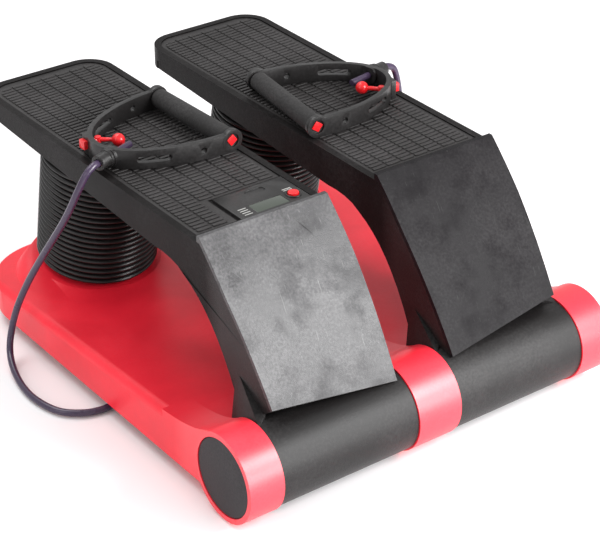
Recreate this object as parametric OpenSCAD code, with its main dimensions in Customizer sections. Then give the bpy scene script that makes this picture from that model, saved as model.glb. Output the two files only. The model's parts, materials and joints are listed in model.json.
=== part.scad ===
// Twin-pedal air stepper: two treads on one hinge shaft, each held up by an air bellows,
// with two pull handles on elastic bands. Millimetres, +Z up, the user faces -Y.
// Modules work in the hinge frame (y = 0 on the hinge axis) and place() moves them home.

/* [Overall] */
// Width over the outer hinge barrels
overall_w = 400; // [380:1:430]
// Depth from the front of the barrels to the back of the pedals
overall_d = 502; // [470:1:540]

/* [Hinge] */
// Radius of the three hinge barrels of the base
barrel_r = 41; // [39:0.5:44]
// Gap between the barrels and the floor
barrel_lift = 2.5; // [2:0.5:6]
// Width of each outer barrel
end_barrel_w = 34; // [28:1:40]
// Width of the middle barrel
mid_barrel_w = 46; // [40:1:52]
// Side gap between a barrel and a hinge tube
side_gap = 0.5; // [0.4:0.1:1]
// Radius of the pedals' hinge tubes
tube_r = 39.5; // [37:0.5:40.5]
// Wall of the hinge tubes
tube_wall = 4; // [3:0.5:6]
// Diameter of the hinge shaft
shaft_d = 16; // [12:1:20]
// Radial running clearance on the shaft
shaft_fit = 0.06; // [0.03:0.01:0.1]
// Wall of the shaft bushes
bush_wall = 2.5; // [1.5:0.5:4]
// Length of each bush
bush_len = 28; // [18:1:40]
// Wall of the hubs round bushes and shaft
hub_wall = 3.5; // [2.5:0.5:5]
// Radius of the end caps
cap_r = 36; // [32:0.5:37]
// Thickness of the end caps
cap_t = 5; // [3:0.5:6]
// Thickness of the shaft nuts
nut_t = 8; // [6:0.5:10]

/* [Base] */
// How far the sides of the deck stand inside the ends of the barrels
base_in = 5; // [2:0.5:15]
// How far the pedals reach past the back of the base
back_overhang = 21; // [4:1:30]
// Radius of the back corners
base_corner_r = 70; // [50:1:90]
// Height of the rubber feet, which lifts the base off the floor
foot_h = 13; // [11:1:18]
// Radius of the rubber feet
foot_r = 17; // [13:1:20]
// Height of the deck at its front edge
deck_front_z = 60; // [56:1:64]
// Height of the deck at its back edge
deck_back_z = 40; // [36:1:46]
// Rounding of the deck's edges
deck_edge_r = 9; // [5:1:12]
// Wall of the base moulding
base_wall = 4; // [3:0.5:5]
// Thickness of the stiffening ribs
rib_t = 3; // [2:0.5:4]
// Widest pocket between ribs
pocket_max = 46; // [36:1:48]

/* [Bellows] */
// Distance of each bellows from the middle plane
bellows_x = 97; // [94:1:98]
// Distance of the bellows behind the hinge
bellows_y = 362; // [340:1:370]
// Outer radius of the bellows
bellows_r = 58; // [52:1:58]
// Depth of the folds
fold_depth = 6; // [4:0.5:9]
// Number of folds
folds = 20; // [10:1:22]
// Wall of the bellows
bellows_wall = 2.5; // [1.5:0.5:3]
// Height of the middle of the boss that the bellows stands on
boss_z = 58; // [50:0.5:62]
// Flare of the boss round the bellows
boss_flare = 20; // [10:1:24]
// How far the top of the bellows leans towards the hinge
bellows_lean = 26; // [0:1:32]
// Radius of the bellows' cuffs
cuff_r = 50; // [44:1:51]
// Height of the lower cuff
cuff_h = 4; // [3:0.5:6]

/* [Pedals] */
// Gap from the middle plane to a pedal
pedal_in = 27; // [25:1:30]
// Width of a pedal
pedal_w = 132; // [128:1:136]
// Height of the tread
tread_z = 211; // [206:1:218]
// Distance of the knee behind the hinge
knee_y = 87; // [80:1:95]
// Height of the toe stop above the tread
lip_h = 6; // [3:0.5:9]
// Thickness of the front plate and of its toe stop
front_t = 4; // [3:0.5:6]
// Height of the pedal's side at the back
skirt_back = 20; // [17:0.5:23]
// Height of the pedal's side where the leg begins
skirt_front = 34; // [31:0.5:39]
// Where the leg begins behind the hinge
leg_start_y = 157; // [145:1:170]
// Where the leg's back edge ends, behind the hinge
leg_back_y = 44; // [42:0.5:46]
// Height where the leg's back edge ends
leg_back_z = 85; // [80:1:92]
// How far the leg's lower end is drawn in on each side
leg_draw = 4; // [1:0.5:6]
// Outward bow of the front plate
plate_bow = 6; // [2:0.5:9]
// Step of the front plate above the hinge tube
plate_step = 3.2; // [2:0.2:5]
// Angle round the hinge tube where the front plate ends
plate_angle = 115; // [104:1:118]
// Skew of the front plate's lower edge
plate_skew = 7.5; // [0:0.5:10]
// Radius of the pedal's back corners
pedal_corner_r = 28; // [20:1:36]
// Wall of the pedal moulding
pedal_wall = 4; // [3:0.5:5]
// Width of the rim round the tread mat
rim_w = 7; // [5:0.5:10]
// Thickness of the tread mat, bars included
mat_t = 2; // [1.5:0.25:3]
// Clearance round parts that are laid in
lay_gap = 0.2; // [0.1:0.05:0.4]

/* [Handles] */
// Length over the handle's two eyes
handle_len = 120; // [110:1:135]
// Reach of the frame from the grip's axis to its nose
handle_reach = 108; // [98:1:114]
// Wall of the handle frame
frame_t = 5; // [4:0.5:9]
// Height of the handle frame
frame_h = 18; // [13:0.5:20]
// Radius of the eyes that hold the grip
eye_r = 10.5; // [9.5:0.25:16]
// Radius of the foam grip
grip_r = 9; // [8:0.25:13.5]
// Radius of the grip's core
core_r = 6; // [5:0.25:9.5]
// Side of the core's square ends
core_sq = 8; // [6:0.5:11]
// Gap between a handle and the tread it lies on
rest_gap = 0.3; // [0.2:0.05:0.5]
// Radius of the peg's ball
ball_r = 6; // [5:0.25:7]
// Width of the peg's head
peg_head = 8; // [6:0.5:13]
// Radius of the band gland
gland_r = 7; // [6.5:0.25:7.5]
// Length of the band gland
gland_len = 14; // [10:1:18]

/* [Bands] */
// Diameter of the elastic bands
band_d = 6.5; // [6:0.5:8]
// Clearance round a band in its holes
band_gap = 0.3; // [0.2:0.05:0.5]
// Width of the anchor block under the base
anchor_w = 22; // [18:1:28]
// Length of the anchor block
anchor_len = 26; // [22:1:32]
// Gap between the anchor block and the floor
anchor_lift = 1.5; // [1:0.25:2]

/* [Computer] */
// Width of the computer
comp_w = 72; // [68:1:76]
// Length of the computer
comp_len = 48; // [46:1:52]
// Height of the computer
comp_h = 13; // [12:0.5:15]
// Wall of the computer's housing
comp_wall = 2; // [1.5:0.25:2.5]
// Gap from the pedal's inner edge to the computer
comp_edge = 8; // [7:0.5:12]
// Width of the display window
lcd_w = 34; // [28:1:36]
// Length of the display window
lcd_len = 15; // [12:1:17]
// Radius of the mode button
button_r = 5; // [4:0.25:6]
// Travel of the mode button
button_travel = 1.5; // [1:0.1:2]
// Clearance round the mode button
button_gap = 0.35; // [0.3:0.05:0.5]
// Thickness of the circuit board
board_t = 1.6; // [1:0.1:2]
// Radius of the button cell
cell_r = 8; // [6:0.5:10]

/* [Fasteners] */
// Diameter of the screws
screw_d = 4; // [3:0.5:5]
// Head diameter of the screws
head_d = 8; // [6:0.5:9]
// Height of the screw heads
head_h = 2.5; // [2:0.25:3]
// Length of the screws below the head
screw_len = 12; // [10:1:14]
// Clearance round a screw
screw_gap = 0.15; // [0.1:0.05:0.3]

/* [Hidden] */
$fn = 64;

hinge_y = barrel_r - overall_d / 2;
hinge_z = barrel_r + barrel_lift;
base_w = overall_w - 2 * base_in;
skirt_back_z = tread_z - skirt_back;
skirt_front_z = tread_z - skirt_front;
pedal_end = overall_d - barrel_r;
base_back = pedal_end - back_overhang;
deck_gap = 7.5;
deck_front = tube_r + deck_gap;
barrel_in = overall_w / 2 - end_barrel_w;
tube_x0 = mid_barrel_w / 2 + side_gap;
tube_x1 = barrel_in - side_gap;
shaft_r = shaft_d / 2;
bore_r = shaft_r + shaft_fit;
bush_r = bore_r + bush_wall;
hub_r = bush_r + hub_wall;
press = 0.02;
deck_slope = atan((deck_front_z - deck_back_z) / (base_back - deck_front));
function deck_z(y) = deck_front_z - (y - deck_front) * tan(deck_slope);
nut_recess = nut_t + cap_t + 3;
hose_r = 5;
hose_wall = 1.5;
hose_lift = 12;
hose_z = foot_h + hose_lift;
elbow_w = 12;
air_bore = 2.2;
stem_out = 6;
seat_gap = 0.02;
eps = 0.01;

// Curves and bodies shared by several pieces
function bezier(p, q, r, n) =
    [for (i = [0 : n]) let (t = i / n) (1 - t) * (1 - t) * p + 2 * t * (1 - t) * q + t * t * r];
function unit(v) = v / norm(v);
function rot2(p, a) = [p.x * cos(a) - p.y * sin(a), p.x * sin(a) + p.y * cos(a)];
module place() translate([0, hinge_y, 0]) children();
module along_x(x0, x1) translate([x0, 0, 0]) rotate([90, 0, 90]) linear_extrude(x1 - x0) children();
module rod_x(x0, x1, r) along_x(x0, x1) translate([0, hinge_z]) circle(r);
module side_of(s) mirror([s < 0 ? 1 : 0, 0, 0]) children();
module box_at(size, at) translate(at) translate([-size.x / 2, -size.y / 2, 0]) cube(size);

// A screw with a round head: its head sits on z = 0 and its shank points down
module screw() {
    cylinder(d = head_d, h = head_h);
    translate([0, 0, -screw_len]) cylinder(d = screw_d, h = screw_len + eps);
}
module screw_hole(depth) translate([0, 0, -depth]) cylinder(d = screw_d + 2 * screw_gap, h = depth + eps);

// Hub, spokes and rim of a hinge tube or of the middle barrel, seen along the shaft
module wheel_2d(r, wall, bore) {
    spokes = 6;
    translate([0, hinge_z]) {
        difference() {
            circle(r);
            circle(r - wall);
        }
        difference() {
            union() {
                circle(hub_r);
                for (i = [0 : spokes - 1]) rotate(i * 360 / spokes)
                    translate([0, -rib_t / 2]) square([r - wall / 2, rib_t]);
            }
            circle(bore);
        }
    }
}

// Sweeps a round tube along a stretch of a list of points
function tangent(path, i) =
    unit(path[min(i + 1, len(path) - 1)] - path[max(i - 1, 0)]);
function across(t) = unit(cross(t, abs(t.z) > 0.95 ? [0, 1, 0] : [0, 0, 1]));
module swept_tube(path, d, from, to) {
    sides = 10;
    n = to - from + 1;
    rings = [for (i = [from : to])
        let (t = tangent(path, i), s = across(t), u = cross(s, t))
        for (k = [0 : sides - 1])
            path[i] + d / 2 * (cos(k * 360 / sides) * s + sin(k * 360 / sides) * u)];
    walls = [for (i = [0 : n - 2], k = [0 : sides - 1])
        let (a = i * sides + k, b = i * sides + (k + 1) % sides)
        each [[a, b, a + sides], [b, b + sides, a + sides]]];
    first = [for (k = [1 : sides - 2]) [0, k + 1, k]];
    last = [for (k = [1 : sides - 2]) let (z = (n - 1) * sides) [z, z + k, z + k + 1]];
    polyhedron(points = rings, faces = concat(walls, first, last));
}

// Base
module base_outline(inset) {
    w = base_w / 2 - inset;
    r = base_corner_r - inset;
    y0 = deck_front + inset;
    y1 = base_back - inset;
    translate([-w, y0]) square([2 * w, y1 - r - y0]);
    translate([r - w, y0]) square([2 * (w - r), y1 - y0]);
    for (s = [-1, 1]) translate([s * (w - r), y1 - r]) circle(r);
}
module rounded_top(w, h, r) {
    translate([-w / 2, -h]) square([w, h - r]);
    translate([r - w / 2, -h]) square([w - 2 * r, h]);
    for (s = [-1, 1]) translate([s * (w / 2 - r), -r]) circle(r);
}
// The deck as one block, its sloped top rounded over at the sides
module deck_block(inset, z0) {
    intersection() {
        translate([0, 0, z0]) linear_extrude(deck_front_z) base_outline(inset);
        translate([0, deck_front, deck_front_z - inset]) rotate([90 - deck_slope, 0, 0])
            translate([0, 0, -overall_d]) linear_extrude(2 * overall_d)
                rounded_top(base_w - 2 * inset, 2 * deck_front_z, deck_edge_r);
    }
}
// An arm from the deck to a hinge barrel, whose wedge may be narrower than the barrel
arm_lean = 52;
arm_run = 50;
arm_end = deck_front + arm_run;
module base_arm(x0, x1, wedge_x1) {
    p = [barrel_r * cos(arm_lean), hinge_z + barrel_r * sin(arm_lean)];
    q = [deck_front + 2, deck_z(deck_front)];
    rod_x(x0, x1, barrel_r);
    along_x(x0, wedge_x1) polygon(concat([[0, hinge_z]], bezier(p, q, [arm_end, deck_z(arm_end)], 8),
        [[arm_end, foot_h], [barrel_r * 0.6, foot_h]]));
}
module arm_zone(x0, x1) translate([x0, 0, 0]) cube([x1 - x0, arm_end, 2 * deck_front_z]);
module hinge_barrels() color("crimson") place() difference() {
    union() {
        for (s = [-1, 1]) side_of(s) base_arm(barrel_in, overall_w / 2, base_w / 2);
        difference() {
            base_arm(-mid_barrel_w / 2, mid_barrel_w / 2, mid_barrel_w / 2);
            rod_x(-overall_w, overall_w, barrel_r - tube_wall);
        }
        along_x(-mid_barrel_w / 2, mid_barrel_w / 2) wheel_2d(barrel_r, tube_wall, bore_r);
    }
    rod_x(-overall_w, overall_w, bore_r);
    for (s = [-1, 1]) side_of(s) {
        rod_x(overall_w / 2 - cap_t, overall_w, cap_r + lay_gap);
        rod_x(overall_w / 2 - nut_recess, overall_w, cap_r - tube_wall);
    }
}
foot_front = 40;
foot_inset = 52;
function feet_at() = [for (s = [-1, 1], y = [deck_front + foot_front, base_back - foot_inset])
    [s * (base_w / 2 - foot_inset), y]];
anchor_inset = 30;
anchor_x = base_w / 2 - anchor_inset;
anchor_y = 194;
anchor_screw_in = 7;
anchor_screw_x = anchor_x - anchor_len + anchor_screw_in;
module base_pockets() {
    w = base_w - 2 * base_wall;
    l = base_back - deck_front - 2 * base_wall;
    nx = ceil(w / pocket_max);
    ny = ceil(l / pocket_max);
    for (i = [0 : nx - 1], j = [0 : ny - 1])
        translate([-w / 2 + i * w / nx + rib_t / 2, deck_front + base_wall + j * l / ny + rib_t / 2, 0])
            cube([w / nx - rib_t, l / ny - rib_t, deck_front_z]);
}
boss_sink = 0.5;
// Moves children to the middle of a bellows boss, tilted with the bellows
module at_boss(s) translate([s * bellows_x, bellows_y, boss_z]) rotate([bellows_tilt, 0, 0]) children();
module bellows_boss(s) intersection() {
    r = bellows_r + 2;
    hull() {
        at_boss(s) translate([0, 0, -base_wall]) cylinder(r = r, h = base_wall + boss_sink, $fn = 96);
        translate([s * bellows_x, bellows_y, deck_z(bellows_y)]) rotate([-deck_slope, 0, 0])
            translate([0, 0, -base_wall]) cylinder(r = r + boss_flare, h = base_wall - boss_sink, $fn = 96);
    }
    translate([0, 0, foot_h]) linear_extrude(2 * boss_z) base_outline(1);
}
hub_bottom = hose_z + hose_r + 3;
module base_shell() color("crimson") place() difference() {
    union() {
        difference() {
            union() {
                difference() {
                    deck_block(0, foot_h);
                    intersection() {
                        deck_block(base_wall, foot_h - 1);
                        base_pockets();
                    }
                }
                for (s = [-1, 1]) bellows_boss(s);
            }
            for (s = [-1, 1]) at_boss(s) {
                translate([0, 0, -2 * boss_z])
                    cylinder(r = bellows_r - base_wall, h = 2 * boss_z - base_wall);
                cylinder(r = bellows_r + base_wall, h = boss_z);
            }
        }
        intersection() {
            deck_block(0, foot_h);
            union() {
                for (p = feet_at()) translate(p) cylinder(r = head_d, h = deck_front_z);
                for (s = [-1, 1])
                    box_at([2 * head_d, anchor_w, deck_front_z], [s * anchor_screw_x, anchor_y, 0]);
            }
        }
        for (s = [-1, 1]) at_boss(s) translate([0, 0, hub_bottom - boss_z])
            cylinder(r = 3 * hose_r, h = boss_z - hub_bottom - base_wall / 2);
    }
    arm_zone(-mid_barrel_w / 2, mid_barrel_w / 2);
    for (s = [-1, 1]) side_of(s) {
        arm_zone(barrel_in, overall_w);
        translate([bellows_x, bellows_y, 0]) cylinder(r = hose_r + band_gap, h = 2 * boss_z);
        translate([anchor_screw_x, anchor_y, foot_h + screw_len]) screw_hole(2 * screw_len);
    }
    for (p = feet_at()) translate([p.x, p.y, foot_h + screw_len]) screw_hole(2 * screw_len);
    box_at([2 * (bellows_x + 2 * hose_r), 3 * hose_r, hub_bottom + 1 - foot_h],
        [0, bellows_y, foot_h - 2]);
}
module end_cap(s) color("dimgray") place() side_of(s) {
    rod_x(overall_w / 2 - cap_t, overall_w / 2 - 0.5, cap_r);
}
module left_end_cap() end_cap(-1);
module right_end_cap() end_cap(1);
shaft_end = overall_w / 2 - nut_recess + nut_t + 1;
module hinge_shaft() color("silver") place() rod_x(-shaft_end, shaft_end, shaft_r);
module shaft_nuts() color("silver") place() for (s = [-1, 1]) side_of(s)
    along_x(overall_w / 2 - nut_recess, overall_w / 2 - nut_recess + nut_t) translate([0, hinge_z])
        difference() {
            circle(d = 1.7 * shaft_d, $fn = 6);
            circle(bore_r);
        }
module rubber_feet() color("#222222") place() for (p = feet_at()) translate(p) difference() {
    cylinder(r = foot_r, h = foot_h);
    cylinder(d = screw_d + 2 * screw_gap, h = 3 * foot_h, center = true);
    translate([0, 0, -eps]) cylinder(d = head_d + 4 * screw_gap, h = foot_h - 4 + eps);
}
module foot_screws() color("silver") place() for (p = feet_at())
    translate([p.x, p.y, foot_h - 4]) mirror([0, 0, 1]) screw();
hose_half = bellows_x - 2 * hose_r;
module air_hose() color("#2a2a2a") place() translate([0, bellows_y, hose_z]) rotate([0, 90, 0]) difference() {
    cylinder(r = hose_r, h = 2 * hose_half, center = true);
    cylinder(r = hose_r - hose_wall, h = 3 * hose_half, center = true);
}
module air_fittings() color("#3a3a3a") place() for (s = [-1, 1]) side_of(s)
    translate([bellows_x, bellows_y, hose_z]) difference() {
        union() {
            box_at([elbow_w, elbow_w, elbow_w], [0, 0, -elbow_w / 2]);
            cylinder(r = hose_r, h = boss_z - hose_z + stem_out);
            translate([0, 0, boss_z - hose_z]) rotate([bellows_tilt, 0, 0])
                translate([0, 0, seat_gap]) cylinder(r = 2 * hose_r, h = cuff_h - 0.5);
            rotate([0, -90, 0]) cylinder(r = hose_r - hose_wall - press, h = bellows_x - hose_half + elbow_w);
        }
        cylinder(r = air_bore, h = boss_z);
        rotate([0, -90, 0]) cylinder(r = air_bore - 0.4, h = bellows_x);
    }
band_r = band_d / 2;
band_lie_z = band_r + 1;
anchor_z = anchor_lift + 1 + band_r;
band_sink = 10;
module band_anchor(s) color("#262626") place() side_of(s) difference() {
    translate([anchor_x - anchor_len, anchor_y - anchor_w / 2, anchor_lift])
        cube([anchor_len, anchor_w, foot_h - anchor_lift]);
    translate([anchor_x - band_sink, anchor_y, anchor_z]) rotate([0, 90, 0])
        cylinder(r = band_r + band_gap, h = 2 * band_sink);
    translate([anchor_screw_x, anchor_y, 0]) {
        cylinder(d = screw_d + 2 * screw_gap, h = 2 * foot_h);
        cylinder(d = head_d + 4 * screw_gap, h = foot_h - 4);
    }
}
module left_band_anchor() band_anchor(-1);
module right_band_anchor() band_anchor(1);
module anchor_screws() color("silver") place() for (s = [-1, 1])
    translate([s * anchor_screw_x, anchor_y, foot_h - 4]) mirror([0, 0, 1]) screw();

// Bellows: a ribbed tube with its bore. Its axis leans along the pedal's arc, its rings stand
// square to that axis, and they level out towards the plate at the top.
plate_t = 4;
plate_up = 6;
plate_z = skirt_back_z + plate_up;
bellows_top = plate_z - plate_t;
bellows_tilt = atan(bellows_lean / (bellows_top - boss_z));
level_from = 0.75;
function ring_tilt(t) = bellows_tilt * (t < level_from ? 1 : 1 - pow((t - level_from) / (1 - level_from), 2));
top_cuff = 14;
function bellows_wall_line() =
    let (z0 = boss_z + cuff_h, z1 = bellows_top - top_cuff, pitch = (z1 - z0) / folds) concat(
        [[cuff_r, boss_z + seat_gap], [cuff_r, z0]],
        [for (i = [0 : folds - 1]) each [[bellows_r - fold_depth, z0 + (i + 0.08) * pitch],
            [bellows_r, z0 + (i + 0.5) * pitch]]],
        [[bellows_r - fold_depth, z1], [cuff_r, z1 + 1], [cuff_r, bellows_top]]);
module bellows(s) {
    sides = 22;
    outer = bellows_wall_line();
    inner = [for (i = [len(outer) - 1 : -1 : 0]) outer[i] - [bellows_wall, 0]];
    loop = concat(outer, inner);
    n = len(loop);
    points = [for (p = loop, k = [0 : sides - 1])
        let (a = k * 360 / sides, t = (p.y - boss_z) / (bellows_top - boss_z), tilt = ring_tilt(t))
        [s * bellows_x + p.x * cos(a), bellows_y - bellows_lean * t + p.x * sin(a) * cos(tilt),
            p.y + p.x * sin(a) * sin(tilt)]];
    faces = [for (j = [0 : n - 1], k = [0 : sides - 1])
        let (a = j * sides + k, b = j * sides + (k + 1) % sides,
            c = ((j + 1) % n) * sides + k, d = ((j + 1) % n) * sides + (k + 1) % sides)
        each [[a, c, b], [b, c, d]]];
    color("#1c1c1c") place() polyhedron(points = points, faces = faces);
}
module left_bellows() bellows(-1);
module right_bellows() bellows(1);

// Pedals
knee = [knee_y, tread_z + lip_h];
plate_foot = [0, hinge_z] + (tube_r + plate_step) * [cos(plate_angle), sin(plate_angle)];
plate_dir = unit(plate_foot - knee);
plate_in = [-plate_dir.y, plate_dir.x];
function plate_line(depth, n) = bezier(knee + depth * plate_in,
    (knee + plate_foot) / 2 + (depth - 2 * plate_bow) * plate_in, plate_foot + depth * plate_in, n);
leg_sweep = [-73, 7];
function leg_line() = bezier([leg_start_y, skirt_front_z], [leg_start_y, skirt_front_z] + leg_sweep,
    [leg_back_y, leg_back_z], 12);
module pedal_side() intersection() {
    polygon(concat(plate_line(front_t + lay_gap, 12), [[0, hinge_z], [tube_r - 0.5, hinge_z + 6]],
        [for (i = [12 : -1 : 0]) leg_line()[i]], [[pedal_end, skirt_back_z], [pedal_end, knee.y]]));
    translate([-overall_d, 0]) square([2 * overall_d, tread_z]);
}
module front_plate_side() {
    polygon(concat(plate_line(0, 12), [for (i = [12 : -1 : 0]) plate_line(front_t, 12)[i]]));
    translate([knee_y, tread_z + lay_gap]) square([front_t, lip_h - lay_gap]);
}
module pedal_outline(inset) {
    x0 = pedal_in + inset;
    w = pedal_w - 2 * inset;
    y1 = pedal_end - inset;
    r = pedal_corner_r - inset;
    translate([x0, -2 * tube_r]) square([w, y1 - r + 2 * tube_r]);
    translate([x0 + r, 0]) square([w - 2 * r, y1]);
    for (x = [x0 + r, x0 + w - r]) translate([x, y1 - r]) circle(r);
}
// Front view of the pedal: the leg is drawn in towards the hinge
module pedal_front() {
    x0 = pedal_in;
    x1 = pedal_in + pedal_w;
    polygon([[x0, 2 * tread_z], [x0, skirt_front_z], [x0 + leg_draw, leg_back_z], [x0 + leg_draw, 0],
        [x1 - leg_draw, 0], [x1 - leg_draw, leg_back_z], [x1, skirt_front_z], [x1, 2 * tread_z]]);
}
// Fillet plate from a side of the leg out to the end of the hinge tube
gusset_z = 112;
gusset_y = 3;
gusset_sink = 0.8;
module gusset(leg_x, end_x) hull() {
    dir = sign(end_x - leg_x);
    along_x(min(leg_x, leg_x - dir), max(leg_x, leg_x - dir))
        polygon([[leg_back_y - 1, gusset_z], [gusset_y, hinge_z + tube_r + tube_wall],
            [gusset_y, hinge_z + tube_r / 2], [leg_back_y - 2 * gusset_y, hinge_z + tube_r / 2]]);
    along_x(min(end_x, end_x - dir), max(end_x, end_x - dir)) translate([0, hinge_z])
        polygon([for (a = [12 : 12 : 96]) (tube_r - gusset_sink) * [cos(a), sin(a)]]);
}
module pedal_pockets() {
    w = pedal_w - 2 * (pedal_wall + leg_draw);
    nx = ceil(w / pocket_max);
    front = 34;
    y0 = knee_y + front;
    l = pedal_end - pedal_wall - y0;
    ny = ceil(l / pocket_max);
    top = tread_z - pedal_wall - mat_t;
    cell = w / nx - rib_t;
    legs = 3;
    first = 3;
    step = 5;
    deep = 72 * plate_in;
    line = plate_line(front_t + lay_gap + pedal_wall, first + legs * step + 2);
    for (i = [0 : nx - 1]) {
        x = pedal_in + pedal_wall + leg_draw + i * w / nx + rib_t / 2;
        for (j = [0 : ny - 1]) translate([x, y0 + j * l / ny, 0])
            cube([cell, l / ny - rib_t, top]);
        for (k = [0 : legs - 1]) {
            a = line[first + k * step];
            b = line[first + k * step + step - 1];
            along_x(x, x + cell) polygon([a, b, b + deep, a + deep]);
        }
    }
}
mat_front = 10;
module mat_outline(inset) {
    y0 = knee_y + front_t + mat_front + inset;
    intersection() {
        pedal_outline(rim_w + inset);
        translate([0, y0]) square([overall_w, overall_d]);
    }
}
comp_x = pedal_in + comp_edge + comp_w / 2;
comp_front = 5;
comp_y = knee_y + front_t + comp_front + comp_len / 2;
comp_proud = 0.3;
comp_top = tread_z + comp_proud;
comp_floor = comp_top - comp_h;
module comp_box(grow, z0, z1) box_at([comp_w + 2 * grow, comp_len + 2 * grow, z1 - z0], [comp_x, comp_y, z0]);
screw_ring_in = 16;
function plate_screws_at() = [for (a = [0 : 90 : 270]) [bellows_x, bellows_y - bellows_lean]
    + (cuff_r - screw_ring_in) * [cos(a), sin(a)]];
// What lies below the skewed lower end of the front plate, cut square to the plate
module below_plate() translate([pedal_in, plate_foot.x, plate_foot.y])
    rotate([atan(plate_in.y / plate_in.x), 0, 0]) rotate([0, -plate_skew, 0])
        translate([-overall_w, -overall_w / 2, -overall_w]) cube(overall_w * [2, 1, 1]);
module front_plate() difference() {
    intersection() {
        along_x(0, overall_w) front_plate_side();
        rotate([90, 0, 0]) linear_extrude(3 * overall_d, center = true) pedal_front();
    }
    below_plate();
    rod_x(0, overall_w, tube_r + lay_gap);
}
module right_front_plate() color("#2c2c2c") place() front_plate();
module left_front_plate() color("#2c2c2c") place() mirror([1, 0, 0]) front_plate();
module pedal_body() difference() {
    union() {
        difference() {
            union() {
                difference() {
                    intersection() {
                        along_x(0, overall_w) pedal_side();
                        linear_extrude(2 * tread_z) pedal_outline(0);
                        rotate([90, 0, 0]) linear_extrude(3 * overall_d, center = true) pedal_front();
                    }
                    pedal_pockets();
                    below_plate();
                }
                gusset(pedal_in + leg_draw + 0.5, tube_x0);
                gusset(pedal_in + pedal_w - leg_draw - 0.5, tube_x1);
                for (p = plate_screws_at()) translate([p.x, p.y, plate_z])
                    cylinder(d = head_d, h = tread_z - plate_z - mat_t);
            }
            rod_x(0, overall_w, tube_r - tube_wall / 2);
            translate([bellows_x, bellows_y - bellows_lean, 0]) cylinder(r = cuff_r + 3, h = plate_z);
        }
        along_x(tube_x0, tube_x1) wheel_2d(tube_r, tube_wall, bush_r + press);
    }
    translate([0, 0, tread_z - mat_t]) linear_extrude(2 * mat_t) mat_outline(0);
    for (p = plate_screws_at()) translate([p.x, p.y, plate_z - plate_t + screw_len])
        screw_hole(screw_len);
}
module right_pedal_shell() color("#262626") place() pedal_body();
module left_pedal_shell() color("#262626") place() mirror([1, 0, 0]) difference() {
    union() {
        pedal_body();
        comp_box(lay_gap + 2.5, comp_floor - 3, tread_z - mat_t);
    }
    comp_box(lay_gap, comp_floor, 2 * tread_z);
    comp_box(-6, comp_floor - 2 * comp_h, 2 * tread_z);
}
module tread_mat() translate([0, 0, tread_z - mat_t]) linear_extrude(mat_t) mat_outline(lay_gap);
module right_tread_mat() color("#202020") place() tread_mat();
module left_tread_mat() color("#202020") place() mirror([1, 0, 0]) difference() {
    tread_mat();
    comp_box(3, comp_floor, 2 * tread_z);
}
module bellows_plate() translate([bellows_x, bellows_y - bellows_lean, plate_z - plate_t]) difference() {
    cylinder(r = cuff_r + 2, h = plate_t);
    for (p = plate_screws_at()) translate([p.x - bellows_x, p.y - bellows_y + bellows_lean, 0])
        cylinder(d = screw_d + 2 * screw_gap, h = 3 * plate_t, center = true);
}
module right_bellows_plate() color("#303030") place() bellows_plate();
module left_bellows_plate() color("#303030") place() mirror([1, 0, 0]) bellows_plate();
module plate_screws() for (p = plate_screws_at())
    translate([p.x, p.y, plate_z - plate_t]) mirror([0, 0, 1]) screw();
module right_plate_screws() color("silver") place() plate_screws();
module left_plate_screws() color("silver") place() mirror([1, 0, 0]) plate_screws();
module hinge_bushes() for (x = [tube_x0, tube_x1 - bush_len])
    along_x(x, x + bush_len) translate([0, hinge_z]) difference() {
        circle(bush_r);
        circle(bore_r);
    }
module right_hinge_bushes() color("wheat") place() hinge_bushes();
module left_hinge_bushes() color("wheat") place() mirror([1, 0, 0]) hinge_bushes();

// Computer in the left pedal, drawn on the right and mirrored over
lcd_in = 6;
button_in = 10;
notch_in = 9;
notch_r = 4;
notch_half = 6;
lcd_at = [comp_x + 1, comp_y - comp_len / 2 + lcd_in + lcd_len / 2];
button_at = [comp_x - comp_w / 2 + button_in, lcd_at.y + 2];
notch_at = [comp_x - 2, comp_y + comp_len / 2 - notch_in];
button_out = 2;
button_play = 0.3;
button_flange = 1;
button_stop = 0.4;
board_z = comp_top - comp_wall - button_play - button_flange - button_travel - button_stop - board_t;
module computer_housing() color("#1f1f1f") place() mirror([1, 0, 0]) difference() {
    comp_box(0, comp_floor, comp_top);
    comp_box(-comp_wall, comp_floor - 1, comp_top - comp_wall);
    box_at([lcd_w, lcd_len, comp_h], [lcd_at.x, lcd_at.y, comp_top - comp_wall - 1]);
    translate([button_at.x, button_at.y, comp_floor]) cylinder(r = button_r + button_gap, h = 2 * comp_h);
    for (x = [-notch_half, notch_half]) translate([notch_at.x + x, notch_at.y, comp_top - comp_wall / 2])
        cylinder(r = notch_r, h = comp_h);
    box_at([2 * notch_half, 2 * notch_r, comp_h], [notch_at.x, notch_at.y, comp_top - comp_wall / 2]);
}
module display_lens() color("#9fb09a") place() mirror([1, 0, 0])
    box_at([lcd_w - 2 * lay_gap, lcd_len - 2 * lay_gap, comp_wall],
        [lcd_at.x, lcd_at.y, comp_top - comp_wall - 0.2]);
module display_panel() color("#7d8a78") place() mirror([1, 0, 0])
    box_at([lcd_w - 2, lcd_len - 2, comp_top - comp_wall - 0.2 - board_z - board_t],
        [lcd_at.x, lcd_at.y, board_z + board_t]);
module mode_button() color("red") place() mirror([1, 0, 0]) translate([button_at.x, button_at.y, 0]) {
    translate([0, 0, comp_top - comp_wall - button_play - eps])
        cylinder(r = button_r, h = comp_wall + button_play + button_out);
    translate([0, 0, comp_top - comp_wall - button_play - button_flange])
        cylinder(r = button_r + button_flange, h = button_flange);
}
module circuit_board() color("darkgreen") place() mirror([1, 0, 0]) difference() {
    comp_box(-comp_wall - lay_gap, board_z, board_z + board_t);
    for (p = cover_screws_at()) translate([p.x, p.y, 0]) cylinder(d = head_d, h = 2 * tread_z);
}
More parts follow.
